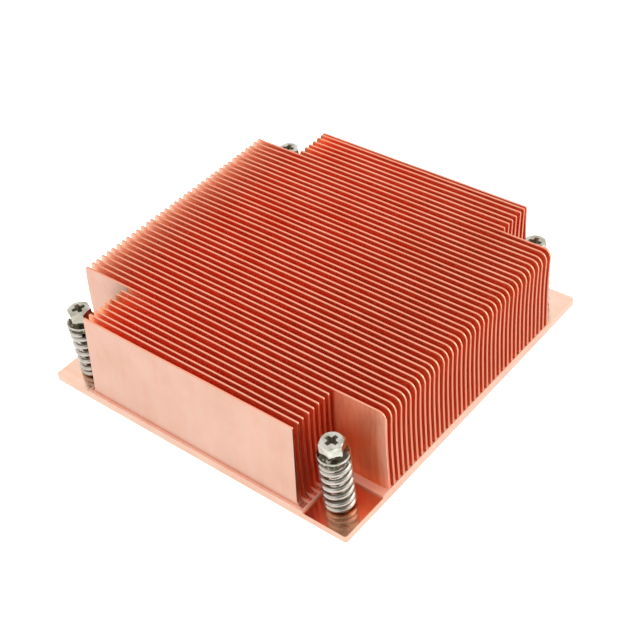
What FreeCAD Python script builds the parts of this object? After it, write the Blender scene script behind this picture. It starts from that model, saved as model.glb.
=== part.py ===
"""Passive copper heatsink for a server processor.

One skived copper block: a thin square plate whose fins are cut up out of the
plate itself, with a pocket at each corner.  Each pocket holds a captive
mounting screw on a compression spring, kept in by a ring under the plate.

Frame: millimetres, +X along the fins, +Y across them (the way they curl),
+Z up.  The origin is the centre of the flat underside that meets the processor.
"""
import FreeCAD
import Part

import math
import os

from FreeCAD import Vector

# ---------------------------------------------------------------- plate
plate_length = 88.6            # along the fins, X
plate_width = 88.6             # across the fins, Y
plate_thickness = 2.4          # up to the floor of the gaps between the fins
plate_corner_radius = 0.7      # upright edges at the four corners
plate_edge_bevel = 0.2         # around the underside

# ---------------------------------------------------------------- fins
overall_height = 23.65         # underside to fin tops
fin_pitch = 1.653
fin_thickness = 0.55
first_fin_inset = 1.92         # front edge of the plate to the first fin's root centre
last_fin_inset = 0.6           # least distance from the last root centre to the back edge
fin_foot_height = 7.6          # straight lower part, before the curl starts
fin_foot_lean = 1.5            # degrees off upright, towards +Y
front_fin_lean = 1.30          # how far the top of the front fins lies behind its root
back_fin_lean = 1.75           # the same for the back fins
end_fin_lean = 0.90            # the backmost fin, pressed nearly upright
lean_irregularity = 0.10       # the fins are not bent quite alike
lean_irregularity_step = 2.3   # radians from fin to fin
front_wedge_inset = 0.6        # plate edge to the thick foot of the frontmost fin
fin_root_depth = 0.3           # how deep the modelled fins run into the plate
full_fin_rounding = 2.8        # top corner at the +X end of the full-length fins

# ---------------------------------------------------------------- corner pockets
screw_spacing = 75.0           # square pattern of the mounting screws
fin_end_to_screw = 6.65        # ends of the short fins to the screw axis, along X
front_row_to_screw = 7.5       # short fins end this far behind the front screws
back_row_to_screw = 4.5        # and this far in front of the back screws
fin_end_foot_radius = 1.5      # hollow left by the cutter at the foot of each short fin
seat_depth = 0.6               # spring seat, sunk below the floor of the gaps
seat_side_to_screw = 4.75      # edges of the spring seat, measured from the screw axis
seat_front_to_screw = 5.9
seat_back_to_screw = 4.3
screw_hole_clearance = 0.2     # radial, around the shoulder of the screw
ring_recess_depth = 0.65       # counterbore in the underside, so that the ring lies flush
ring_recess_clearance = 0.3    # radial, around the ring

# ---------------------------------------------------------------- captive screws
head_top_height = 20.7         # above the underside of the plate
head_across_flats = 5.0
head_height = 2.6              # hexagon above the flange
head_chamfer_drop = 0.35
flange_diameter = 7.1
flange_rim_thickness = 1.35
flange_cone_rise = 1.0         # from the rim up to the foot of the hexagon
shoulder_diameter = 4.0
ring_groove_diameter = 3.2
ring_groove_play = 0.05        # axial, above and below the ring
collar_length = 0.8            # shoulder left below the ring
thread_diameter = 3.0
thread_end_chamfer = 0.4
screw_projection = 5.0         # tip below the underside of the plate
recess_depth = 1.7             # cross recess in the head
recess_span = 3.1
recess_slot_width = 0.95
recess_floor_share = 0.5       # size of the recess floor against its mouth
screw_turns = {                # degrees that each screw happens to be turned
    "front_left": -22,
    "front_right": -7,
    "back_left": 18,
    "back_right": 9,
}

# ---------------------------------------------------------------- springs
spring_outer_diameter = 7.1
spring_wire_diameter = 1.15
spring_seat_gap = 0.1          # at each end, to the seat and to the flange
closed_turns = 1.0             # at each end
closed_turn_gap = 0.06         # between turns that lie on each other
active_turns = 4.25
spring_steps_per_turn = 12
spring_wire_sides = 8
spring_turns = {               # degrees that each spring happens to be turned
    "front_left": -50,
    "front_right": -50,
    "back_left": 120,
    "back_right": 40,
}

# ---------------------------------------------------------------- retaining rings
ring_thickness = 0.6
ring_outer_diameter = 7.0
ring_running_clearance = 0.05  # radial, to the floor of the groove
ring_mouth_width = 2.7
ring_relief_diameter = 1.5

# ---------------------------------------------------------------- worked out
half_length = plate_length / 2
half_width = plate_width / 2
seat_height = plate_thickness - seat_depth
short_fin_half_length = screw_spacing / 2 - fin_end_to_screw
front_pocket_y = front_row_to_screw - screw_spacing / 2
back_pocket_y = screw_spacing / 2 - back_row_to_screw
first_root_y = first_fin_inset - half_width
fin_count = int((plate_width - first_fin_inset - last_fin_inset) / fin_pitch) + 1
shoulder_radius = shoulder_diameter / 2
ring_underside = ring_recess_depth - ring_thickness
flange_underside = head_top_height - head_height - flange_cone_rise - flange_rim_thickness
spring_base = seat_height + spring_seat_gap
spring_length = flange_underside - spring_seat_gap - spring_base

corners = {
    "front_left": (-1, -1),
    "front_right": (1, -1),
    "back_left": (-1, 1),
    "back_right": (1, 1),
}


def screw_axis(corner):
    """Foot of a corner's screw axis, in the plane of the underside."""
    side_x, side_y = corners[corner]
    return Vector(side_x * screw_spacing / 2, side_y * screw_spacing / 2, 0)


# ================================================================ copper block
def plate():
    """The plate, with sunk spring seats and screw holes at its corners."""
    body = Part.makeBox(plate_length, plate_width, plate_thickness,
                        Vector(-half_length, -half_width, 0))
    upright = [edge for edge in body.Edges if is_upright(edge)]
    body = body.makeFillet(plate_corner_radius, upright)
    around_underside = [edge for edge in body.Edges if lies_at_height(edge, 0)]
    body = body.makeChamfer(plate_edge_bevel, around_underside)
    hole_radius = shoulder_radius + screw_hole_clearance
    recess_radius = ring_outer_diameter / 2 + ring_recess_clearance
    for corner in corners:
        axis = screw_axis(corner)
        body = body.cut(spring_seat(corner))
        body = body.cut(Part.makeCylinder(hole_radius, plate_thickness, axis))
        body = body.cut(Part.makeCylinder(recess_radius, ring_recess_depth, axis))
    return body


def is_upright(edge):
    start, end = edge.Vertexes[0].Point, edge.Vertexes[-1].Point
    return abs(start.x - end.x) + abs(start.y - end.y) < plate_edge_bevel


def lies_at_height(edge, height):
    return all(abs(vertex.Point.z - height) < plate_edge_bevel / 2 for vertex in edge.Vertexes)


def spring_seat(corner):
    """Material milled away at one corner to sink the spring seat."""
    side_x, side_y = corners[corner]
    axis = screw_axis(corner)
    reach_in = seat_front_to_screw if side_y < 0 else seat_back_to_screw
    inner = Vector(axis.x - side_x * seat_side_to_screw, axis.y - side_y * reach_in, 0)
    outer = Vector(side_x * plate_length, side_y * plate_width, 0)
    low = Vector(min(inner.x, outer.x), min(inner.y, outer.y), seat_height)
    return Part.makeBox(abs(outer.x - inner.x), abs(outer.y - inner.y), plate_thickness, low)


def root_y(index):
    return first_root_y + index * fin_pitch


def top_lean(index):
    """How far the top of a fin lies behind its root."""
    if index == fin_count - 1:
        return end_fin_lean
    along = index / (fin_count - 1)
    wander = lean_irregularity * math.sin(lean_irregularity_step * index)
    return front_fin_lean + (back_fin_lean - front_fin_lean) * along + wander


def arc_leaving(start, direction, end):
    """Circular arc from start to end that leaves start along a direction in the YZ plane."""
    chord = end - start
    normal = Vector(0, -direction.z, direction.y)
    radius = chord.Length ** 2 / (2 * chord.dot(normal))
    centre = start + normal * radius
    middle = (start + end) * 0.5 - centre
    return Part.Arc(start, centre + middle.normalize() * abs(radius), end).toShape()


def fin_side(foot_y, top_y):
    """One side of a fin in the YZ plane: a straight foot, then the curl that skiving leaves."""
    lean = math.radians(fin_foot_lean)
    direction = Vector(0, math.sin(lean), math.cos(lean))
    rise = fin_foot_height + fin_root_depth
    foot = Vector(0, foot_y - fin_root_depth * math.tan(lean), plate_thickness - fin_root_depth)
    bend = foot + direction * (rise / math.cos(lean))
    top = Vector(0, top_y, overall_height)
    return [Part.makeLine(foot, bend), arc_leaving(bend, direction, top)]


def fin_section(index):
    """Closed outline of a fin in the YZ plane."""
    centre = root_y(index)
    half = fin_thickness / 2
    top = centre + top_lean(index)
    behind = fin_side(centre + half, top + half)
    if index == 0:
        before = [Part.makeLine(Vector(0, front_wedge_inset - half_width, plate_thickness - fin_root_depth),
                                Vector(0, top - half, overall_height))]
    else:
        before = fin_side(centre - half, top - half)
    foot = Part.makeLine(before[0].Vertexes[0].Point, behind[0].Vertexes[0].Point)
    crest = Part.makeLine(before[-1].Vertexes[-1].Point, behind[-1].Vertexes[-1].Point)
    return Part.Face(Part.Wire(Part.__sortEdges__(before + behind + [foot, crest])))


def rounded_outline(points):
    """Closed XZ outline of (x, z, corner radius) points; a radius of 0 keeps the corner."""
    places = [Vector(x, 0, z) for x, z, radius in points]
    edges = []
    ends = []
    for position, here in enumerate(places):
        radius = points[position][2]
        towards_last = (places[position - 1] - here).normalize()
        towards_next = (places[(position + 1) % len(places)] - here).normalize()
        arrive = here + towards_last * radius
        leave = here + towards_next * radius
        ends.append((arrive, leave))
        if radius > 0:
            centre = here + (towards_last + towards_next) * radius
            middle = centre + (here - centre).normalize() * radius
            edges.append(Part.Arc(arrive, middle, leave).toShape())
    for position, (arrive, leave) in enumerate(ends):
        previous = ends[position - 1][1]
        if not previous.isEqual(arrive, plate_edge_bevel / 100):
            edges.append(Part.makeLine(previous, arrive))
    return Part.Wire(Part.__sortEdges__(edges))


def fin_outline(index):
    """Side view of a fin in the XZ plane: full length, or cut back for the corner pockets."""
    low = plate_thickness - fin_root_depth
    if front_pocket_y < root_y(index) < back_pocket_y:
        return rounded_outline([
            (-half_length, low, 0),
            (half_length, low, 0),
            (half_length, overall_height, full_fin_rounding),
            (-half_length, overall_height, 0),
        ])
    end = short_fin_half_length
    flare = end + fin_end_foot_radius
    return rounded_outline([
        (-flare, low, 0),
        (flare, low, 0),
        (flare, plate_thickness, 0),
        (end, plate_thickness, fin_end_foot_radius),
        (end, overall_height, 0),
        (-end, overall_height, 0),
        (-end, plate_thickness, fin_end_foot_radius),
        (-flare, plate_thickness, 0),
    ])


def fin(index):
    """A fin: its curled section run along X, trimmed to its side view."""
    section = fin_section(index)
    section.translate(Vector(-plate_length, 0, 0))
    run = section.extrude(Vector(2 * plate_length, 0, 0))
    outline = Part.Face(fin_outline(index))
    outline.translate(Vector(0, -plate_width, 0))
    return run.common(outline.extrude(Vector(0, 2 * plate_width, 0)))


def heatsink_block():
    fins = [fin(index) for index in range(fin_count)]
    return plate().multiFuse(fins)


# ================================================================ captive screw
def turned(profile):
    """Solid of revolution about Z from (radius, height) points."""
    points = [Vector(radius, 0, height) for radius, height in profile]
    return Part.Face(Part.makePolygon(points + points[:1])).revolve(Vector(0, 0, 0), Vector(0, 0, 1), 360)


def hexagon_head(low, high):
    """Hexagon with the usual chamfer around its top face."""
    corner_radius = head_across_flats / math.sqrt(3)
    points = []
    for side in range(6):
        angle = math.radians(60 * side)
        points.append(Vector(corner_radius * math.cos(angle), corner_radius * math.sin(angle), low))
    prism = Part.Face(Part.makePolygon(points + points[:1])).extrude(Vector(0, 0, high - low))
    envelope = turned([
        (0, low),
        (corner_radius, low),
        (corner_radius, high - head_chamfer_drop),
        (head_across_flats / 2, high),
        (0, high),
    ])
    return prism.common(envelope)


def cross_outline(scale, height):
    """Outline of the cross recess at a height."""
    reach = scale * recess_span / 2
    half_slot = scale * recess_slot_width / 2
    quarter = [(reach, -half_slot), (reach, half_slot), (half_slot, half_slot)]
    points = []
    for turn in range(4):
        angle = math.radians(90 * turn)
        for x, y in quarter:
            points.append(Vector(x * math.cos(angle) - y * math.sin(angle),
                                 x * math.sin(angle) + y * math.cos(angle), height))
    return Part.makePolygon(points + points[:1])


def captive_screw():
    """Shoulder screw with a flanged hexagon head, standing on the Z axis."""
    thread_radius = thread_diameter / 2
    groove_radius = ring_groove_diameter / 2
    groove_top = ring_recess_depth + ring_groove_play
    groove_bottom = ring_underside - ring_groove_play
    collar_end = groove_bottom - collar_length
    rim_top = flange_underside + flange_rim_thickness
    hexagon_foot = rim_top + flange_cone_rise
    shank = turned([
        (0, -screw_projection),
        (thread_radius - thread_end_chamfer, -screw_projection),
        (thread_radius, thread_end_chamfer - screw_projection),
        (thread_radius, collar_end),
        (shoulder_radius, collar_end),
        (shoulder_radius, groove_bottom),
        (groove_radius, groove_bottom),
        (groove_radius, groove_top),
        (shoulder_radius, groove_top),
        (shoulder_radius, flange_underside),
        (flange_diameter / 2, flange_underside),
        (flange_diameter / 2, rim_top),
        (head_across_flats / math.sqrt(3), hexagon_foot),
        (0, hexagon_foot),
    ])
    head = hexagon_head(rim_top, head_top_height)
    recess = Part.makeLoft([cross_outline(1, head_top_height),
                            cross_outline(recess_floor_share, head_top_height - recess_depth)], True, True)
    return shank.fuse(head).cut(recess)


# ================================================================ spring
def coil_height(turn):
    """Height of the wire's centre after a number of turns: closed ends, open middle."""
    wire_rise = spring_length - spring_wire_diameter
    closed_pitch = spring_wire_diameter + closed_turn_gap
    active_pitch = (wire_rise - 2 * closed_turns * closed_pitch) / active_turns
    open_part = min(max(turn - closed_turns, 0), active_turns)
    return spring_base + spring_wire_diameter / 2 + (turn - open_part) * closed_pitch + open_part * active_pitch


def wire_section(turn):
    """Flat-sided section through the wire, across its run, with the round wire's area."""
    round_radius = spring_wire_diameter / 2
    half_side = math.pi / spring_wire_sides
    flat_radius = round_radius * math.sqrt(half_side / math.tan(half_side))
    corner_radius = flat_radius / math.cos(half_side)
    around = 2 * math.pi * turn
    outward = Vector(math.cos(around), math.sin(around), 0)
    mean_radius = (spring_outer_diameter - spring_wire_diameter) / 2
    centre = outward * mean_radius + Vector(0, 0, coil_height(turn))
    points = []
    for side in range(spring_wire_sides):
        angle = half_side * (2 * side + 1)
        points.append(centre + outward * (corner_radius * math.cos(angle))
                      + Vector(0, 0, corner_radius * math.sin(angle)))
    return Part.makePolygon(points + points[:1])


def spring():
    """Compression spring on the Z axis, in short runs of flat-sided wire."""
    turns = 2 * closed_turns + active_turns
    steps = round(turns * spring_steps_per_turn)
    sections = [wire_section(turns * step / steps) for step in range(steps + 1)]
    return Part.makeLoft(sections, True, True)


# ================================================================ retaining ring
def retaining_ring():
    """Snap ring for the groove: open at one side, relieved so that three pads grip."""
    bore_radius = ring_groove_diameter / 2 + ring_running_clearance
    outer_radius = ring_outer_diameter / 2
    relief_radius = ring_relief_diameter / 2
    low = Vector(0, 0, ring_underside)
    ring = Part.makeCylinder(outer_radius, ring_thickness, low)
    ring = ring.cut(Part.makeCylinder(bore_radius, ring_thickness, low))
    mouth = Part.makeBox(outer_radius, ring_mouth_width, ring_thickness,
                         low + Vector(0, -ring_mouth_width / 2, 0))
    ring = ring.cut(mouth)
    for angle in (125, 235):
        around = math.radians(angle)
        place = low + Vector(bore_radius * math.cos(around), bore_radius * math.sin(around), 0)
        ring = ring.cut(Part.makeCylinder(relief_radius, ring_thickness, place))
    return ring


# ================================================================ files
def about_z(shape, degrees):
    """A copy of a shape, turned about the Z axis."""
    copied = shape.copy()
    copied.rotate(Vector(0, 0, 0), Vector(0, 0, 1), degrees)
    return copied


def export(shape, node):
    shape.exportStep("parts/" + node + ".step")


def main():
    os.makedirs("parts", exist_ok=True)
    export(heatsink_block(), "heatsink_block")
    screw, coil, ring = captive_screw(), spring(), retaining_ring()
    for corner in corners:
        fittings = {
            "captive_screw": about_z(screw, screw_turns[corner]),
            "spring": about_z(coil, spring_turns[corner]),
            "retaining_ring": ring.copy(),
        }
        for name, shape in fittings.items():
            shape.translate(screw_axis(corner))
            export(shape, name + "_" + corner)


main()
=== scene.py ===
"""Looks of a passive skived copper heatsink with four captive sprung screws.

The copper block, the screws and the springs are built in finer detail than their
CAD solids and stand in for them.  The retaining rings stay the CAD solids.
All lengths are in metres, in the CAD model's own frame.
"""
import math

import bmesh
import bpy
from mathutils import Matrix, Vector, noise


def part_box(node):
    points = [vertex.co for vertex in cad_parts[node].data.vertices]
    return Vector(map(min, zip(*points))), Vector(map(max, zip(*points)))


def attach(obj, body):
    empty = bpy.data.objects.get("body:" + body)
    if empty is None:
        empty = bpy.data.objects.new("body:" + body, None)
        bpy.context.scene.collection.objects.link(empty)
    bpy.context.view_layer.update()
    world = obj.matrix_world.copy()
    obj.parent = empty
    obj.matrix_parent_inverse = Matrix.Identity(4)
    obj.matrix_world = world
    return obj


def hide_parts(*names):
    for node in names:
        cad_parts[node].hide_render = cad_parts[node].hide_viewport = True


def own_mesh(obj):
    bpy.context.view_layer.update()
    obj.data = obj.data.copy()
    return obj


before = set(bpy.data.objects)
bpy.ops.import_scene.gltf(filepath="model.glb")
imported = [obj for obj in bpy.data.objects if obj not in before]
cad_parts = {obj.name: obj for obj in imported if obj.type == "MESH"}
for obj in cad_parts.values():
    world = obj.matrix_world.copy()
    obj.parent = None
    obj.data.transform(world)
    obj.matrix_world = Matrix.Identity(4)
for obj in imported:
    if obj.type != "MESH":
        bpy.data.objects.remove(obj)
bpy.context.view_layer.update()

mm = 0.001

# ---------------------------------------------------------------- block, as in the CAD source
block_low, block_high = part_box("heatsink_block")
half_length = block_high.x
half_width = -block_low.y
overall_height = block_high.z
plate_thickness = 2.4 * mm
plate_corner_radius = 0.7 * mm
plate_edge_bevel = 0.15 * mm
fin_pitch = 1.653 * mm
fin_thickness = 0.55 * mm
first_fin_inset = 1.92 * mm
last_fin_inset = 0.6 * mm
fin_foot_height = 7.6 * mm
fin_foot_lean = math.radians(1.5)
front_fin_lean = 1.30 * mm
back_fin_lean = 1.75 * mm
end_fin_lean = 0.90 * mm
lean_irregularity = 0.10 * mm
lean_irregularity_step = 2.3
front_wedge_inset = 0.6 * mm
fin_root_depth = 0.3 * mm
fin_end_to_screw = 6.65 * mm
front_row_to_screw = 7.5 * mm
back_row_to_screw = 4.5 * mm
fin_end_foot_radius = 1.5 * mm
seat_depth = 0.6 * mm
seat_side_to_screw = 4.75 * mm
seat_front_to_screw = 5.9 * mm
seat_back_to_screw = 4.3 * mm
screw_hole_radius = 2.2 * mm
ring_recess_radius = 3.8 * mm
ring_recess_depth = 0.65 * mm

# ---------------------------------------------------------------- finer than the CAD source
right_corner_rounding = 2.1 * mm  # top corner at the +X end of the full fins
left_corner_rounding = 0.6 * mm   # and at their -X end
short_corner_rounding = 0.35 * mm
crest_rounding = 0.12 * mm        # along the top edges of the fins
end_edge_bevel = 0.07 * mm        # upright edges at the fins' ends
end_play = 0.02 * mm              # the full fins end this much inside the plate's side
root_fillet = 0.25 * mm
fin_tip_thinning = 0.06 * mm      # on each side, at the tops
fin_tip_height = 5 * mm           # the fins get thinner over this height below their tops
fin_waviness = 0.10 * mm          # sideways, at the tops
slow_wave = 22 * mm               # length of the long waves along a fin
quick_wave = 6 * mm               # and of the short ones
quick_wave_height = 14 * mm       # the short ones also change up the fin
quick_share = 0.35                # size of the short waves against the long ones
waves_from_root = 1.5             # power of the height with which the waves grow
crest_wear = 0.08 * mm            # the tops are up to this much lower than the CAD's
wear_wave = 9 * mm                # length of the dips in a worn top
slow_step = 7.3                   # through each noise from fin to fin, so that no two are alike
quick_step = 3.1
wear_step = 5.7
slow_plane = 0.4                  # where the two-way noises are cut
wear_plane = 2.2

# ---------------------------------------------------------------- points of the fins' skins
fillet_angles = (35, 62, 90)
foot_shares = (0.3, 0.5, 0.75, 1)
side_rises = (3.5, 5.5, 7.6, 9.5, 11.5, 13.5, 15.5, 17.2, 18.8, 20.1)  # in mm, over the plate
fitted_rows = 8                   # of the top rows, which are squeezed in below the crest
crest_angles = (30, 60, 90)
left_corner_angles = (75, 55, 35, 15)
right_corner_angles = (15, 30, 45, 60, 75, 84)
column_spacing = 2.8 * mm

# ---------------------------------------------------------------- screws and springs
corners = {
    "front_left": (-1, -1), "front_right": (1, -1),
    "back_left": (-1, 1), "back_right": (1, 1)}
# the headings say how far each screw and spring is turned about Z, in degrees
screw_headings = {"front_left": -22, "front_right": -7, "back_left": 18, "back_right": 9}
head_across_flats = 5.0 * mm
head_height = 2.6 * mm
head_chamfer_drop = 0.66 * mm
head_flat_share = 0.94            # radius of the flat top against half the width across flats
head_ease = 0.09 * mm
flange_radius = 3.55 * mm
flange_rim_thickness = 1.35 * mm
flange_cone_rise = 1.0 * mm
flange_ease = 0.12 * mm
shoulder_radius = 2.0 * mm
groove_radius = 1.6 * mm
groove_low = 0.0 * mm
groove_high = 0.7 * mm
collar_length = 0.8 * mm
thread_radius = 1.5 * mm
thread_depth = 0.31 * mm
thread_pitch = 0.5 * mm
thread_run_in = 0.5 * mm          # over which the thread deepens, from the tip
thread_run_out = 0.25 * mm        # and ends, at the collar
tip_chamfer = 0.35 * mm
recess_depth = 1.7 * mm
recess_half_span = 1.55 * mm
recess_half_slot = 0.47 * mm
recess_floor_share = 0.55         # size of the recess's floor against its mouth
recess_core_share = 1.25          # inner corners of the cross against half its slot
spring_outer_radius = 3.55 * mm
spring_wire_radius = 0.63 * mm
spring_headings = {"front_left": -140, "front_right": -140, "back_left": 120, "back_right": 40}
closed_turns = 1.0
closed_turn_gap = 0.06 * mm
active_turns = 4.25
wire_end_taper = 0.04             # of a turn, over which the wire's ends are eased
wire_steps_per_turn = 40
wire_sides = 14
thread_steps = 36                 # around the thread
thread_rows = 96                  # up it

# ---------------------------------------------------------------- worked out
fin_count = int((2 * half_width - first_fin_inset - last_fin_inset) / fin_pitch) + 1
screw_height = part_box("captive_screw_front_right")[1].z
screw_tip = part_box("captive_screw_front_right")[0].z


def screw_axis(corner):
    """Foot of a screw's axis, from the middle of its CAD solid."""
    low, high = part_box("captive_screw_" + corner)
    return Vector(((low.x + high.x) / 2, (low.y + high.y) / 2, 0))


screw_offset = screw_axis("back_right").x


# ================================================================ mesh helpers
flat_angle = 14    # degrees between two faces over which an edge of a metal piece is sharp
facing_up = 0.98   # Z of the normal of a level face
nearly_up = 0.9    # Z of the normal of a level face or of the eased edge beside it
bore_steps = 48    # around a hole


def mesh_object(name, vertices, faces, smooth_angle=30):
    """A new object from points and faces."""
    mesh = bpy.data.meshes.new(name)
    mesh.from_pydata(vertices, [], faces)
    return dressed_mesh(name, mesh, smooth_angle)


def dressed_mesh(name, mesh, smooth_angle=30):
    """A new object of a mesh, with outward normals, smooth except over sharp edges."""
    work = bmesh.new()
    work.from_mesh(mesh)
    bmesh.ops.remove_doubles(work, verts=work.verts, dist=1e-7)
    bmesh.ops.recalc_face_normals(work, faces=work.faces)
    work.to_mesh(mesh)
    work.free()
    mesh.shade_smooth()
    mesh.set_sharp_from_angle(angle=math.radians(smooth_angle))
    made = bpy.data.objects.new(name, mesh)
    bpy.context.scene.collection.objects.link(made)
    return made


def settle(piece, smooth_angle=30):
    """Turn a piece's modifiers into its mesh."""
    bpy.context.view_layer.update()
    shaped = piece.evaluated_get(bpy.context.evaluated_depsgraph_get())
    settled = bpy.data.meshes.new_from_object(shaped)
    name = piece.name
    bpy.data.objects.remove(piece)
    return dressed_mesh(name, settled, smooth_angle)


def carve(piece, cutter, operation="DIFFERENCE"):
    """Cut a piece with another one, which is used up."""
    cut = piece.modifiers.new("carve", "BOOLEAN")
    cut.operation = operation
    cut.solver = "EXACT"
    cut.object = cutter
    made = settle(piece)
    bpy.data.objects.remove(cutter)
    return made


def ease_edges(piece, width, segments=2, angle=35):
    """Round a piece's sharp edges a little, and keep its flat faces flat."""
    bevel = piece.modifiers.new("ease", "BEVEL")
    bevel.width = width
    bevel.segments = segments
    bevel.limit_method = "ANGLE"
    bevel.angle_limit = math.radians(angle)
    bevel.use_clamp_overlap = True
    return settle(piece, flat_angle)


def box_between(name, low, high):
    """A box between two corners."""
    xs, ys, zs = zip(low, high)
    vertices = [(x, y, z) for x in xs for y in ys for z in zs]
    faces = [(0, 1, 3, 2), (4, 6, 7, 5), (0, 4, 5, 1), (2, 3, 7, 6), (0, 2, 6, 4), (1, 5, 7, 3)]
    return mesh_object(name, vertices, faces)


def around(radius, height, steps):
    """Ring of points about Z."""
    angles = [2 * math.pi * step / steps for step in range(steps)]
    return [(radius * math.cos(angle), radius * math.sin(angle), height) for angle in angles]


def between_rings(rings, closed_ends=True):
    """Vertices and faces of a skin over rings that all have the same number of points."""
    size = len(rings[0])
    vertices = [point for ring in rings for point in ring]
    faces = []
    for row in range(len(rings) - 1):
        for place in range(size):
            beside = (place + 1) % size
            faces.append((row * size + place, row * size + beside,
                          (row + 1) * size + beside, (row + 1) * size + place))
    if closed_ends:
        faces.append(tuple(range(size)))
        faces.append(tuple((len(rings) - 1) * size + place for place in range(size)))
    return vertices, faces


def turned(name, profile, steps=64, smooth_angle=30):
    """Solid of revolution about Z from (radius, height) points off the axis."""
    rings = [around(radius, height, steps) for radius, height in profile]
    return mesh_object(name, *between_rings(rings), smooth_angle)


def joined(name, pieces):
    """One object out of several."""
    work = bmesh.new()
    for piece in pieces:
        work.from_mesh(piece.data)
        bpy.data.objects.remove(piece)
    mesh = bpy.data.meshes.new(name)
    work.to_mesh(mesh)
    work.free()
    mesh.shade_smooth()
    mesh.set_sharp_from_angle(angle=math.radians(flat_angle))
    made = bpy.data.objects.new(name, mesh)
    bpy.context.scene.collection.objects.link(made)
    return made


# ================================================================ fins
def root_y(index):
    """Y of the middle of a fin where it leaves the plate."""
    return first_fin_inset - half_width + index * fin_pitch


def top_lean(index):
    """How far the top of a fin lies behind its root."""
    if index == fin_count - 1:
        return end_fin_lean
    along = index / (fin_count - 1)
    wander = lean_irregularity * math.sin(lean_irregularity_step * index)
    return front_fin_lean + (back_fin_lean - front_fin_lean) * along + wander


def curl(index, height):
    """Y of the middle of a fin at a height: a straight foot, then an arc that follows on."""
    bend_height = plate_thickness + fin_foot_height
    foot_y = root_y(index) + (height - plate_thickness) * math.tan(fin_foot_lean)
    if height <= bend_height:
        return foot_y
    bend_y = root_y(index) + fin_foot_height * math.tan(fin_foot_lean)
    chord = Vector((root_y(index) + top_lean(index) - bend_y, overall_height - bend_height))
    normal = Vector((math.cos(fin_foot_lean), -math.sin(fin_foot_lean)))
    radius = chord.length_squared / (2 * chord.dot(normal))
    centre = Vector((bend_y, bend_height)) + normal * radius
    swing = math.sqrt(radius * radius - (height - centre.y) ** 2)
    return centre.x - math.copysign(swing, radius)


def wedge_front(height):
    """Y of the frontmost fin's outer face, which stands on a broad foot."""
    foot = front_wedge_inset - half_width
    top = root_y(0) + top_lean(0) - fin_thickness / 2
    low = plate_thickness - fin_root_depth
    return foot + (top - foot) * (height - low) / (overall_height - low)


def waviness(index, x, height):
    """Sideways wander of a fin that is not bent quite evenly along its length."""
    share = max(0, height - plate_thickness) / (overall_height - plate_thickness)
    slow = noise.noise(Vector((x / slow_wave, slow_step * index, slow_plane)))
    quick = noise.noise(Vector((x / quick_wave, quick_step * index, height / quick_wave_height)))
    sideways = fin_waviness * share ** waves_from_root * (slow + quick_share * quick)
    return min(sideways, 0) if index == fin_count - 1 else sideways


def fin_rows():
    """Heights of the rows of points up a fin's side, below its rounded crest."""
    floor = plate_thickness
    rows = [floor - fin_root_depth, floor]
    rows += [floor + root_fillet * (1 - math.cos(math.radians(angle))) for angle in fillet_angles]
    rows += [floor + fin_end_foot_radius * share for share in foot_shares]
    rows += [floor + rise * mm for rise in side_rises]
    return rows


def end_hollow(height):
    """How far a short fin's end runs out at its foot, where the cutter left a hollow."""
    above = height - plate_thickness
    if above >= fin_end_foot_radius:
        return 0
    rest = fin_end_foot_radius - max(above, 0)
    return fin_end_foot_radius - math.sqrt(fin_end_foot_radius ** 2 - rest ** 2)


def corner_drop(distance, radius):
    """How much lower the outline is, at a distance from a fin's end, for a rounded top corner."""
    if distance >= radius:
        return 0
    return radius - math.sqrt(radius ** 2 - (radius - distance) ** 2)


def fin_columns(reach, left_rounding, right_rounding):
    """(x, drop of the crest, trim of the thickness) of each column along a fin."""
    columns = [(-reach, corner_drop(0, left_rounding), end_edge_bevel)]
    for angle in left_corner_angles:
        inset = left_rounding * (1 - math.sin(math.radians(angle)))
        columns.append((-reach + inset, corner_drop(inset, left_rounding), 0))
    run_from = -reach + left_rounding
    run_to = reach - right_rounding
    steps = round((run_to - run_from) / column_spacing)
    for step in range(steps + 1):
        columns.append((run_from + (run_to - run_from) * step / steps, 0, 0))
    for angle in right_corner_angles:
        inset = right_rounding * (1 - math.sin(math.radians(angle)))
        columns.append((reach - inset, corner_drop(inset, right_rounding), 0))
    columns.append((reach, corner_drop(0, right_rounding), end_edge_bevel))
    return columns


def is_full(index):
    """Whether a fin runs the whole length, between the pockets."""
    front = front_row_to_screw - screw_offset
    back = screw_offset - back_row_to_screw
    return front < root_y(index) < back


def short_reach():
    """Half the length of the fins in front of and behind the pockets."""
    return screw_offset - fin_end_to_screw


def bare_sides(index, x):
    """Whether no other fin stands in front of and behind a fin at a place along it."""
    beside_pocket = is_full(index) and abs(x) > short_reach()
    front = index == 0 or beside_pocket and not is_full(index - 1)
    back = index == fin_count - 1 or beside_pocket and not is_full(index + 1)
    return front, back


def half_thickness(height, crest):
    """Half a fin's thickness at a height, a little less towards its crest."""
    to_crest = min(max((height - crest) / fin_tip_height + 1, 0), 1)
    return fin_thickness / 2 - fin_tip_thinning * to_crest


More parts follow.
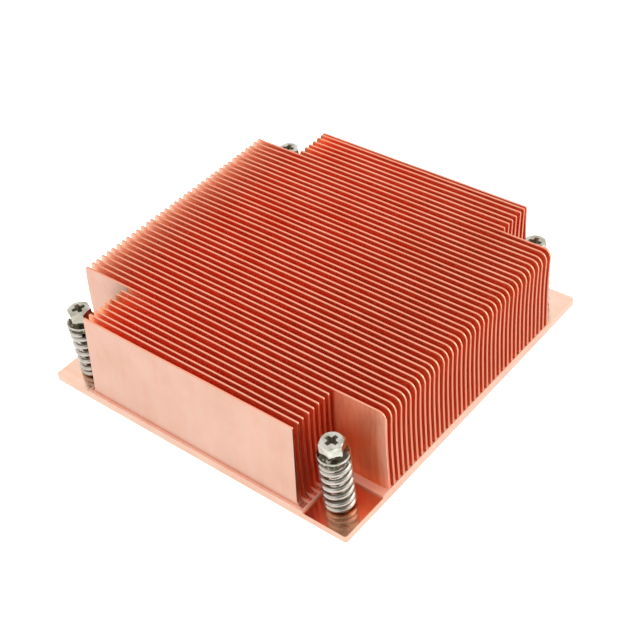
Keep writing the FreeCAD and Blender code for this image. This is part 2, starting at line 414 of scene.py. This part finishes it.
def fin_ring(index, x, reach, drop, trim, rows):
    """Closed ring of points around a fin at one place along it, up its front and down its back."""
    dip = noise.noise(Vector((x / wear_wave, wear_step * index, wear_plane)))
    crest = overall_height - drop - crest_wear * (0.5 + 0.5 * dip)
    start = rows[-fitted_rows]  # the lowest of them stays where it is
    squeeze = (crest - crest_rounding - start) / (rows[-1] - start)
    front, back = [], []
    for height in rows:
        if height > start:
            height = start + (height - start) * squeeze
        half = half_thickness(height, crest) - trim
        fillet = 0
        if height < plate_thickness + root_fillet:
            rest = min(root_fillet, plate_thickness + root_fillet - height)
            fillet = root_fillet - math.sqrt(root_fillet ** 2 - rest ** 2)
        shift = waviness(index, x, height)
        place = x
        if not is_full(index):
            place = x * (reach + end_hollow(height)) / reach
        middle = curl(index, height) + shift
        nearer = middle - half - fillet
        if index == 0:
            nearer = wedge_front(height) + trim
        front.append((place, nearer, height))
        back.append((place, middle + half + fillet, height))
    middle = curl(index, crest) + waviness(index, x, crest)
    half = half_thickness(crest, crest) - trim
    for angle in crest_angles:
        rise = crest_rounding * math.sin(math.radians(angle))
        inset = crest_rounding * (1 - math.cos(math.radians(angle)))
        height = crest - crest_rounding + rise
        front.append((x, middle - half + inset, height))
        back.append((x, middle + half - inset, height))
    return front + back[::-1]


def fin(index):
    """Vertices and faces of one fin, and the place of each face's material."""
    # Painted light and shade: faces get copies of the copper by how openly they stand to the
    # light, a saturated red copy in the gaps, a dim pale copy on bare faces, a red copy beside the
    # right pockets, darker copies on the ends and on the crest's far side.
    in_a_gap, bare, beside_pocket, edge, end, rim = range(6)
    # the crest's faces turned away from the front get a dark copy of the copper, painted shade
    far_side = 3  # faces of the rounded crest that are turned away from the front
    rows = fin_rows()
    if is_full(index):
        reach = half_length - end_play
        columns = fin_columns(reach, left_corner_rounding, right_corner_rounding)
    else:
        reach = short_reach()
        columns = fin_columns(reach, short_corner_rounding, short_corner_rounding)
    rings = [fin_ring(index, x, reach, drop, trim, rows) for x, drop, trim in columns]
    vertices, faces = between_rings(rings, closed_ends=False)
    size = len(rings[0])
    finishes_and_painted_light = []
    for one, other in zip(columns, columns[1:]):
        x = (one[0] + other[0]) / 2
        front, back = bare_sides(index, x)
        open_finish = beside_pocket if is_full(index) and x > 0 else bare
        side = len(rows) - 1
        front_finish = open_finish if front else in_a_gap
        back_finish = open_finish if back else in_a_gap
        finishes_and_painted_light += [front_finish] * side + [edge] * (size - 2 * side - 1 - far_side)
        finishes_and_painted_light += [rim] * far_side + [back_finish] * (side + 1)
    for base in (0, (len(rings) - 1) * size):
        for place in range(size // 2 - 1):
            opposite = base + size - 1 - place
            faces.append((base + place, base + place + 1, opposite - 1, opposite))
            finishes_and_painted_light.append(end)
    return vertices, faces, finishes_and_painted_light


def skived_fins():
    """All the fins in one piece, with the material of each face; most are lit and shaded copies of
    the copper, painted light and shade.
    """
    vertices, faces, finishes_and_painted_light = [], [], []
    for index in range(fin_count):
        more_vertices, more_faces, more_finishes = fin(index)
        first = len(vertices)
        vertices += more_vertices
        faces += [tuple(first + corner for corner in face) for face in more_faces]
        finishes_and_painted_light += more_finishes
    piece = mesh_object("skived_fins", vertices, faces, 20)
    for material in (gap_copper, face_copper, pocket_copper, edge_copper, end_copper, crest_shade_copper):
        piece.data.materials.append(material)
    for polygon, finish in zip(piece.data.polygons, finishes_and_painted_light):
        polygon.material_index = finish
    return piece


# ================================================================ plate
def plate():
    """The plate under the fins, with sunk spring seats, screw holes and ring recesses."""
    outline = []
    straight_x = half_length - plate_corner_radius
    straight_y = half_width - plate_corner_radius
    for side_x, side_y, start in ((1, 1, 0), (-1, 1, 90), (-1, -1, 180), (1, -1, 270)):
        for step in range(7):
            angle = math.radians(start + 15 * step)
            outline.append((side_x * straight_x + plate_corner_radius * math.cos(angle),
                            side_y * straight_y + plate_corner_radius * math.sin(angle)))
    rings = [[(x, y, height) for x, y in outline] for height in (0, plate_thickness)]
    body = mesh_object("plate_with_pockets", *between_rings(rings))
    for corner, (side_x, side_y) in corners.items():
        axis = screw_axis(corner)
        reach_in = seat_front_to_screw if side_y < 0 else seat_back_to_screw
        inner = (axis.x - side_x * seat_side_to_screw, axis.y - side_y * reach_in)
        outer = (side_x * 2 * half_length, side_y * 2 * half_width)
        low = (min(inner[0], outer[0]), min(inner[1], outer[1]), plate_thickness - seat_depth)
        high = (max(inner[0], outer[0]), max(inner[1], outer[1]), 2 * plate_thickness)
        body = carve(body, box_between("seat", low, high))
        hole = (screw_hole_radius, 2 * plate_thickness)
        ring_recess = (ring_recess_radius, ring_recess_depth)
        for radius, top in (hole, ring_recess):
            bore = turned("bore", [(radius, -plate_thickness), (radius, top)], bore_steps)
            bore.location = axis
            body = carve(body, bore)
    body = ease_edges(body, plate_edge_bevel)
    on_seat, on_ledge = 1, 2
    for material in (plate_copper, seat_copper, ledge_copper):
        body.data.materials.append(material)
    seat_height = plate_thickness - seat_depth
    for polygon in body.data.polygons:
        middle = polygon.center
        inside_x = abs(middle.x) < half_length - plate_edge_bevel
        inside_y = abs(middle.y) < half_width - plate_edge_bevel
        if polygon.normal.z > nearly_up and abs(middle.z - seat_height) < 0.01 * mm:
            polygon.material_index = on_seat
        elif inside_x and inside_y and middle.z > seat_height:
            polygon.material_index = on_ledge
    return body


# ================================================================ captive screws
def hexagon_head(low, high):
    """Chamfered hexagon with a cross recess."""
    corner_radius = head_across_flats / math.sqrt(3)
    hexagons = [around(corner_radius, height, 6) for height in (low, high)]
    prism = mesh_object("head", *between_rings(hexagons))
    envelope = turned("envelope", [
        (1.2 * corner_radius, low - mm),
        (1.2 * corner_radius, high - head_chamfer_drop),
        (head_flat_share * head_across_flats / 2, high),
    ], 2 * bore_steps)
    head = carve(prism, envelope, "INTERSECT")
    over_mouth = (1.12, high + 0.3 * mm)
    mouth = (1, high)
    recess_floor = (recess_floor_share, high - recess_depth)
    rings = []
    for scale, height in (over_mouth, mouth, recess_floor):
        ring = []
        reach = recess_half_span * scale
        slot = recess_half_slot * scale
        for turn in range(4):
            spin = Matrix.Rotation(math.radians(90 * turn), 3, "Z")
            core = recess_core_share * slot
            for x, y in ((reach, -slot), (reach, slot), (core, core)):
                ring.append(tuple(spin @ Vector((x, y, height))))
        rings.append(ring)
    head = carve(head, mesh_object("cross", *between_rings(rings)))
    return ease_edges(head, head_ease)


def threaded_end(high):
    """The M3 thread below the collar, with a chamfered tip."""
    rings = []
    for row in range(thread_rows + 1):
        height = screw_tip + (high - screw_tip) * row / thread_rows
        fade = min(1, (height - screw_tip) / thread_run_in, (high - height) / thread_run_out)
        limit = thread_radius - max(0, tip_chamfer - (height - screw_tip))
        ring = []
        for step in range(thread_steps):
            turn = step / thread_steps
            phase = (height / thread_pitch - turn) % 1
            depth = thread_depth * (1 - abs(2 * phase - 1)) * max(fade, 0)
            radius = min(thread_radius - depth, limit)
            angle = 2 * math.pi * turn
            ring.append((radius * math.cos(angle), radius * math.sin(angle), height))
        rings.append(ring)
    return mesh_object("thread", *between_rings(rings))


def shank(flange_underside):
    """Flange, shoulder, ring groove and collar, all turned on the screw's axis."""
    rim_low = flange_underside
    rim_high = flange_underside + flange_rim_thickness
    cone_high = rim_high + flange_cone_rise
    ease = flange_ease
    neck = head_across_flats / 2
    return turned("shank", [
        (thread_radius * 0.9, groove_low - collar_length - 0.1 * mm),
        (shoulder_radius - ease, groove_low - collar_length),
        (shoulder_radius, groove_low - collar_length + ease),
        (shoulder_radius, groove_low),
        (groove_radius, groove_low),
        (groove_radius, groove_high),
        (shoulder_radius, groove_high),
        (shoulder_radius, rim_low),
        (flange_radius - ease, rim_low),
        (flange_radius, rim_low + ease),
        (flange_radius, rim_high - 1.5 * ease),
        (flange_radius - 0.4 * ease, rim_high - 0.5 * ease),
        (flange_radius - 1.4 * ease, rim_high),
        (neck + 2.6 * ease, cone_high - ease),
        (neck, cone_high),
        (neck, cone_high + ease),
    ])


def stand(piece, corner, degrees):
    """Turn a piece about Z and stand it on the axis of a corner's screw."""
    turn = Matrix.Rotation(math.radians(degrees), 4, "Z")
    piece.data.transform(Matrix.Translation(screw_axis(corner)) @ turn)
    return piece


def captive_screw(corner):
    """One screw: a hexagon head with a cross recess, a turned shank and a thread."""
    rim_high = screw_height - head_height - flange_cone_rise
    head = hexagon_head(rim_high, screw_height)
    body = shank(rim_high - flange_rim_thickness)
    piece = joined("screw_" + corner, [head, body, threaded_end(groove_low - collar_length)])
    piece.data.materials.append(nickel)
    piece.data.materials.append(recess_shade_nickel)
    # the faces inside the cross recess get a darker nickel, painted shade
    in_recess = 1
    for polygon in piece.data.polygons:
        middle = polygon.center
        near_axis = math.hypot(middle.x, middle.y) < recess_half_span
        in_head = middle.z > screw_height - recess_depth - 0.1 * mm
        if near_axis and in_head and polygon.normal.z < facing_up:
            polygon.material_index = in_recess
    return stand(piece, corner, screw_headings[corner])


# ================================================================ springs
def coil(corner):
    """Round-wire compression spring with closed ends, between its CAD solid's two ends."""
    low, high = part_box("spring_" + corner)
    wire = spring_wire_radius
    mean_radius = spring_outer_radius - wire
    turns = 2 * closed_turns + active_turns
    closed_pitch = 2 * wire + closed_turn_gap
    active_pitch = (high.z - low.z - 2 * wire - 2 * closed_turns * closed_pitch) / active_turns
    steps = round(turns * wire_steps_per_turn)
    rings = []
    for step in range(steps + 1):
        turn = turns * step / steps
        open_part = min(max(turn - closed_turns, 0), active_turns)
        height = low.z + wire + (turn - open_part) * closed_pitch + open_part * active_pitch
        outward = Vector((math.cos(2 * math.pi * turn), math.sin(2 * math.pi * turn), 0))
        to_end = min(step, steps - step) / wire_steps_per_turn
        size = wire * (1 if to_end > wire_end_taper else 0.8 + 0.2 * to_end / wire_end_taper)
        ring = []
        for side in range(wire_sides):
            angle = 2 * math.pi * side / wire_sides
            ring.append(tuple(outward * (mean_radius + size * math.cos(angle))
                              + Vector((0, 0, height + size * math.sin(angle)))))
        rings.append(ring)
    piece = mesh_object("coil_" + corner, *between_rings(rings), 50)
    return stand(piece, corner, spring_headings[corner])


# ================================================================ materials
white = (1.0, 1.0, 1.0)
even = (1, 1, 1)                  # noise that isn't stretched
blotch_scale = 90.0
grain_scale = 2600.0
streak_depth = 0.00003
grain_depth = 0.00001
scuff_depth = 0.00002
# dark colour for random dirt on the steel, and for the painted shade and painted reflection on the
# screws' flanges
grime_and_shade_colour = (0.06, 0.048, 0.03)


class Nodes:
    """A short way to write a node material."""

    def __init__(self, name):
        self.material = bpy.data.materials.new(name)
        self.material.use_nodes = True
        self.tree = self.material.node_tree
        self.shader = self.tree.nodes["Principled BSDF"]

    def add(self, kind, links=None, **values):
        node = self.tree.nodes.new(kind)
        for name, value in values.items():
            if hasattr(node, name):
                setattr(node, name, value)
            else:
                node.inputs[name.replace("_", " ")].default_value = value
        for socket, source in (links or {}).items():
            self.tree.links.new(source, node.inputs[socket])
        return node

    def link(self, source, socket):
        self.tree.links.new(source, self.shader.inputs[socket])

    def noise(self, stretch, scale, detail=3.0, rough=0.5):
        """Noise in the object's own space, stretched by a scale along each axis."""
        place = self.add("ShaderNodeTexCoord").outputs["Object"]
        mapped = self.add("ShaderNodeMapping", {"Vector": place})
        mapped.inputs["Scale"].default_value = stretch
        made = self.add("ShaderNodeTexNoise", {"Vector": mapped.outputs["Vector"]})
        made.inputs["Scale"].default_value = scale
        made.inputs["Detail"].default_value = detail
        made.inputs["Roughness"].default_value = rough
        return made.outputs["Fac"]

    def ramp(self, source, stops):
        """Colour ramp from (place, colour) stops."""
        made = self.add("ShaderNodeValToRGB", {"Fac": source})
        elements = made.color_ramp.elements
        while len(elements) < len(stops):
            elements.new(0.5)
        for element, (place, colour) in zip(elements, stops):
            element.position = place
            element.color = colour if len(colour) == 4 else (*colour, 1)
        return made.outputs["Color"]

    def scaled(self, source, low, high):
        """Map a 0 to 1 value to a range."""
        made = self.add("ShaderNodeMapRange", {"Value": source})
        made.inputs["To Min"].default_value = low
        made.inputs["To Max"].default_value = high
        return made.outputs["Result"]

    def mixed(self, factor, one, other, blend="MIX"):
        made = self.add("ShaderNodeMix", data_type="RGBA", blend_type=blend)
        for socket, value in ((0, factor), (6, one), (7, other)):
            if isinstance(value, bpy.types.NodeSocket):
                self.tree.links.new(value, made.inputs[socket])
            else:
                made.inputs[socket].default_value = value if socket == 0 else (*value, 1)
        return made.outputs[2]

    def bump(self, height, strength, distance, normal=None):
        links = {"Height": height}
        if normal:
            links["Normal"] = normal
        made = self.add("ShaderNodeBump", links)
        made.inputs["Strength"].default_value = strength
        made.inputs["Distance"].default_value = distance
        return made.outputs["Normal"]


def copper(name, stretch, roughness, plain, aged, pale,
           metallic=1.0, tints=(), drawn=(1.0, 0.91, 0.88)):
    """Bare bright copper with fine drawn streaks, faint blotches and a little tarnish.

    The streaks are noise stretched by a scale along each axis, shaded with the colour drawn.
    Each tint is (colour, direction, start, end) and takes over along its direction; some tints are
    painted light, painted shade or a painted reflection, as said where they are given.
    """
    nodes = Nodes(name)
    streaks = nodes.noise(stretch, 1.0, 4.0, 0.6)
    blotches = nodes.noise(even, blotch_scale, 4.0, 0.55)
    grain = nodes.noise(even, grain_scale, 2.0)
    colour = nodes.ramp(blotches, [(0.32, aged), (0.5, plain), (0.72, pale)])
    for tint, direction, start, end in tints:
        colour = nodes.mixed(share_of_way(nodes, direction, start, end), colour, tint)
    shade = nodes.ramp(streaks, [(0.3, drawn), (0.6, white)])
    nodes.link(nodes.mixed(1.0, colour, shade, "MULTIPLY"), "Base Color")
    low, high = roughness
    nodes.link(nodes.scaled(streaks, low, high), "Roughness")
    first = nodes.bump(streaks, 0.35, streak_depth)
    nodes.link(nodes.bump(grain, 0.10, grain_depth, first), "Normal")
    nodes.shader.inputs["Metallic"].default_value = metallic
    return nodes.material


def share_of_way(nodes, direction, start, end):
    """How far a place lies between two distances along a direction, from 0 to 1."""
    place = nodes.add("ShaderNodeTexCoord").outputs["Object"]
    reach = nodes.add("ShaderNodeVectorMath", {0: place}, operation="DOT_PRODUCT")
    reach.inputs[1].default_value = direction
    share = nodes.add("ShaderNodeMapRange", {"Value": reach.outputs["Value"]})
    share.inputs["From Min"].default_value = start
    share.inputs["From Max"].default_value = end
    return share.outputs["Result"]


def plated_steel(name, colour, dull, roughness, grime_and_painted_shade, metallic=1.0):
    """Bright plated steel, a little yellowed and scuffed, darkened where a function says: random
    dirt on most parts, painted shade and painted reflection on the screws' flanges.
    """
    nodes = Nodes(name)
    patches = nodes.noise(even, 420.0, 3.0)
    scuffs = nodes.noise((1, 1, 0.25), 2400.0, 2.0, 0.6)
    metal = nodes.ramp(patches, [(0.35, dull), (0.62, colour)])
    nodes.link(nodes.mixed(grime_and_painted_shade(nodes), metal, grime_and_shade_colour), "Base Color")
    low, high = roughness
    nodes.link(nodes.scaled(scuffs, low, high), "Roughness")
    nodes.link(nodes.bump(scuffs, 0.25, scuff_depth), "Normal")
    nodes.shader.inputs["Metallic"].default_value = metallic
    return nodes.material


def painted_shade_around_the_flange(nodes):
    """Painted shade and painted reflection on the flange's rim and at the foot of the hexagon, by
    height, broken by spots that leave painted glints.
    """
    place = nodes.add("ShaderNodeTexCoord").outputs["Object"]
    height = nodes.add("ShaderNodeSeparateXYZ", {"Vector": place}).outputs["Z"]
    share = nodes.add("ShaderNodeMapRange", {"Value": height})
    share.inputs["From Min"].default_value = 0
    share.inputs["From Max"].default_value = screw_height
    foot = screw_height - head_height
    rim_high = foot - flange_cone_rise
    rim_low = rim_high - flange_rim_thickness
    # the dark stops are painted shade and painted reflection, the others leave the nickel as it is
    plain, painted_dark = (0.0, 0.0, 0.0), white
    edges = [
        (rim_low, plain), (rim_low + 0.15 * mm, painted_dark),
        (rim_high - 0.30 * mm, painted_dark), (rim_high - 0.20 * mm, plain),
        (rim_high + 0.02 * mm, plain), (rim_high + 0.10 * mm, painted_dark),
        (foot + 0.05 * mm, painted_dark), (foot + 0.3 * mm, plain)]
    stops = [(edge / screw_height, colour) for edge, colour in edges]
    band = nodes.ramp(share.outputs["Result"], stops)
    # lighter spots within the painted dark, painted glints
    spots = nodes.ramp(nodes.noise(even, 1300.0, 2.0), [(0.32, (0.2, 0.2, 0.2)), (0.46, white)])
    return nodes.mixed(1.0, band, spots, "MULTIPLY")


def evenly_clean(nodes):
    return nodes.scaled(nodes.noise(even, 900.0), 0.0, 0.2)


def floor_material():
    nodes = Nodes("studio_floor")
    mottle = nodes.noise(even, 30.0, 2.0)
    greys = [(0.3, (0.59, 0.59, 0.59)), (0.7, (0.61, 0.61, 0.61))]
    nodes.link(nodes.ramp(mottle, greys), "Base Color")
    nodes.shader.inputs["Roughness"].default_value = 0.9
    nodes.shader.inputs["Emission Color"].default_value = (1, 1, 1, 1)
    nodes.shader.inputs["Emission Strength"].default_value = table_glow
    nodes.material.cycles.emission_sampling = "NONE"
    return nodes.material


def wear(piece, body, slot, *stands_for):
    """Give a new piece the body it rides on and hide the CAD nodes it stands for; the slot is not
    used.
    """
    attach(piece, body)
    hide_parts(*stands_for)


# ================================================================ the object
# where each tint of the copper takes over: (direction, start, end)
# painted light: towards the open left end the gap faces turn paler and the crests darker, for the
# light that comes into the gaps from that end
to_left_end = ((-1, 0, 0), half_length - 14 * mm, half_length)
to_right_end = ((1, 0, 0), 0, half_length)
to_front = ((0, -1, 0), 0, half_width)
# painted light: the faces beside the right pockets turn paler towards the open right end and
# towards their tops, where more light reaches them
to_pocket_rim = ((1, 0, 0), half_length - 3 * mm, half_length)
to_pocket_top = ((0, 0, 1), 13 * mm, overall_height)
# painted reflection: the seat of the front right pocket turns redder, for the red fin faces it
# mirrors
to_front_right = ((1, -1, 0), half_length, 1.4 * half_length)

# Copies of the copper for the fins' faces, their colours tuned to how brightly each kind of face
# is lit: painted light and shade.
gap_copper = copper("gap_copper", (900, 900, 22), (0.38, 0.50),
                    (0.93, 0.31, 0.14), (0.92, 0.26, 0.11), (0.94, 0.36, 0.18),
                    tints=[((0.93, 0.37, 0.18), *to_front),
                           ((0.865, 0.33, 0.16), *to_right_end),
                           ((0.79, 0.47, 0.34), *to_left_end)])
face_copper = copper("face_copper", (500, 500, 12), (0.38, 0.52),
                     (0.60, 0.385, 0.30), (0.575, 0.355, 0.27), (0.625, 0.42, 0.335))
# the faces beside the right pockets, with painted light towards their tops and their open end
pocket_copper = copper("pocket_copper", (1500, 1500, 40), (0.36, 0.50),
                       (0.93, 0.28, 0.12), (0.90, 0.20, 0.07), (0.96, 0.36, 0.19), metallic=0.8,
                       tints=[((0.96, 0.42, 0.26), *to_pocket_top),
                              ((0.98, 0.54, 0.40), *to_pocket_rim)],
                       drawn=(0.92, 0.76, 0.68))
edge_copper = copper("edge_copper", (900, 900, 22), (0.24, 0.36),
                     (0.83, 0.325, 0.205), (0.79, 0.28, 0.165), (0.87, 0.375, 0.255),
                     tints=[((0.84, 0.37, 0.25), *to_front), ((0.75, 0.31, 0.20), *to_left_end)])
end_copper = copper("end_copper", (900, 900, 22), (0.24, 0.36),
                    (0.51, 0.17, 0.105), (0.48, 0.15, 0.085), (0.55, 0.20, 0.135))
# painted shade: a dark copy of the copper for the far side of the fins' crests
crest_shade_copper = copper("crest_shade_copper", (900, 900, 22), (0.30, 0.45),
                    (0.30, 0.10, 0.055), (0.24, 0.07, 0.035), (0.38, 0.14, 0.08))
plate_copper = copper("plate_copper", (40, 700, 700), (0.16, 0.28),
                      (0.62, 0.40, 0.30), (0.59, 0.36, 0.26), (0.65, 0.45, 0.35))
ledge_copper = copper("ledge_copper", (40, 700, 700), (0.30, 0.42),
                      (0.88, 0.48, 0.36), (0.86, 0.44, 0.32), (0.90, 0.52, 0.40), metallic=0.5)
# the spring seats, with a painted reflection of the red fins on the front right one
seat_copper = copper("seat_copper", (40, 700, 700), (0.12, 0.24),
                     (0.82, 0.57, 0.45), (0.79, 0.53, 0.40), (0.85, 0.61, 0.49),
                     tints=[((0.84, 0.44, 0.29), *to_front_right)])
# the screws' nickel, with painted shade and painted reflection around the flange
nickel = plated_steel("bright_nickel", (0.56, 0.55, 0.49), (0.36, 0.34, 0.27),
                      (0.08, 0.20), painted_shade_around_the_flange)
# painted shade: a darker, rougher copy of the nickel for the walls of the cross recess
recess_shade_nickel = plated_steel("recess_shade_nickel", (0.48, 0.46, 0.40), (0.30, 0.28, 0.22),
                             (0.35, 0.50), evenly_clean)
spring_nickel = plated_steel("spring_nickel", (0.53, 0.50, 0.45), (0.41, 0.38, 0.33),
                             (0.14, 0.26), evenly_clean, metallic=0.85)
ring_steel = plated_steel("ring_steel", (0.60, 0.59, 0.57), (0.45, 0.44, 0.42),
                          (0.22, 0.40), evenly_clean)

wear(skived_fins(), "block", "copper", "heatsink_block")
wear(plate(), "block", "copper", "heatsink_block")
for corner in corners:
    screw = captive_screw(corner)
    wear(screw, corner + "_screw", "nickel_screw", "captive_screw_" + corner)
    spring = coil(corner)
    spring.data.materials.append(spring_nickel)
    wear(spring, "block", "spring_steel", "spring_" + corner)
    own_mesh(spring)
    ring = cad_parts["retaining_ring_" + corner]
    ring.data.materials.clear()
    ring.data.materials.append(ring_steel)

# ================================================================ studio
camera_place = Vector((0.1668, -0.1677, 0.2120))
camera_azimuth = 44.47
camera_elevation = 40.98
camera_roll = -7.97
camera_lens = 74.4
camera_sensor = 36

# square soft lights that look at the object: (name, place, side, radiance, mirrored in metal)
lamps = (
    ("top_box", (0.22, -0.22, 0.70), 0.9, 1.6, False),
    ("right_box", (0.43, 0.29, 0.32), 0.42, 2.1, True),
)
dim_sky = (0.53, -0.53, 0.66)     # the middle of the one dark part of the surroundings
sky_steps = ((0.80, 1.22), (0.95, 0.15))  # (nearness to that middle, brightness)
floor_half_span = 1.5
table_glow = 0.70                 # the table is lit from below a little


def studio():
    """Pale floor, white surroundings and soft lights."""
    ends = (-floor_half_span, floor_half_span)
    floor = mesh_object("floor", [(x, y, screw_tip) for x in ends for y in ends], [(0, 2, 3, 1)])
    floor.data.materials.append(floor_material())
    world = bpy.data.worlds.new("studio")
    world.use_nodes = True
    tree = world.node_tree
    towards = tree.nodes.new("ShaderNodeVectorMath")
    towards.operation = "DOT_PRODUCT"
    towards.inputs[1].default_value = dim_sky
    tree.links.new(tree.nodes.new("ShaderNodeTexCoord").outputs["Generated"], towards.inputs[0])
    sky = tree.nodes.new("ShaderNodeValToRGB")
    tree.links.new(towards.outputs["Value"], sky.inputs["Fac"])
    for element, (near, brightness) in zip(sky.color_ramp.elements, sky_steps):
        element.position = near
        element.color = (brightness, brightness, brightness, 1)
    tree.links.new(sky.outputs["Color"], tree.nodes["Background"].inputs["Color"])
    bpy.context.scene.world = world
    for name, place, side, radiance, mirrored in lamps:
        lamp = bpy.data.lights.new(name, "AREA")
        lamp.size = side
        lamp.energy = radiance * math.pi * side ** 2
        hung = bpy.data.objects.new(name, lamp)
        hung.location = place
        hung.rotation_euler = (-hung.location).to_track_quat("-Z", "Y").to_euler()
        hung.visible_glossy = mirrored
        bpy.context.scene.collection.objects.link(hung)


def camera():
    """The camera, aimed by azimuth and elevation and rolled about its own axis."""
    data = bpy.data.cameras.new("camera")
    data.lens = camera_lens
    data.sensor_width = camera_sensor
    data.clip_start = 0.01
    place = bpy.data.objects.new("camera", data)
    tilt = math.radians(90 - camera_elevation)
    aim = Matrix.Rotation(math.radians(camera_azimuth), 4, "Z") @ Matrix.Rotation(tilt, 4, "X")
    roll = Matrix.Rotation(math.radians(camera_roll), 4, "Z")
    place.matrix_world = Matrix.Translation(camera_place) @ aim @ roll
    bpy.context.scene.collection.objects.link(place)
    bpy.context.scene.camera = place


studio()
camera()
scene = bpy.context.scene
scene.view_settings.view_transform = "Standard"
scene.cycles.max_bounces = 40
scene.cycles.glossy_bounces = 40
scene.cycles.diffuse_bounces = 4
scene.cycles.blur_glossy = 0  # a blurred gloss would darken the gaps between the fins
